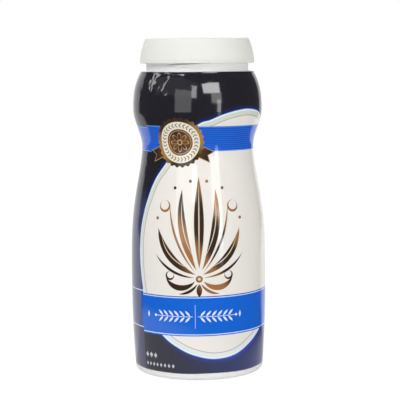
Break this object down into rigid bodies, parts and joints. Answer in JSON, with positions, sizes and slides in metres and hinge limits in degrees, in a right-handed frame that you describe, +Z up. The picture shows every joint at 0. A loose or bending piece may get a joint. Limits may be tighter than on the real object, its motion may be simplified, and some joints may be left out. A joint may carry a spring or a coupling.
{
  "type": "sugar dispenser",
  "caption": "Hourglass plastic canister in a printed sleeve, with a screw cap whose D-shaped flap hinges open to pour sugar.",
  "frame": {"origin": "middle of the base, on the surface that the canister stands on", "axes": "+Z up along the bottle's axis, -Y towards the front of the print, +X to the right of someone facing the front"},
  "size_m": [0.0778, 0.0778, 0.191],
  "materials": {
    "bottle_plastic": "white blow-moulded polyethylene, soft satin",
    "printed_film": "glossy shrink film printed navy, blue and cream",
    "foam": "fine closed-cell foam",
    "cap_plastic": "white injection-moulded polypropylene, satin"
  },
  "bodies": {
    "bottle": {"bottle": "bottle_plastic", "shrink_sleeve": "printed_film"},
    "seal": {"seal_ring": "foam"},
    "cap": {"cap_shell": "cap_plastic", "living_hinge": "cap_plastic"},
    "flap": {"flap": "cap_plastic"}
  },
  "joints": [
    {"name": "cap_lift", "type": "slide", "parent": "bottle", "child": "seal", "axis": [0, 0, 1], "range_m": [0, 0.0032]},
    {"name": "cap_turn", "type": "hinge", "parent": "seal", "child": "cap", "pos_m": [0, 0, 0.1868], "axis": [0, 0, 1], "range_deg": [0, 135]},
    {"name": "flap_open", "type": "hinge", "parent": "cap", "child": "flap", "pos_m": [0.00272, 0.00127, 0.19023], "axis": [0.4226, -0.9063, 0], "range_deg": [0, 135], "deforming": ["living_hinge"]}
  ],
  "couplings": [
    {"joint": "cap_lift", "follows": "cap_turn", "m_per_rad": 0.001348}
  ]
}
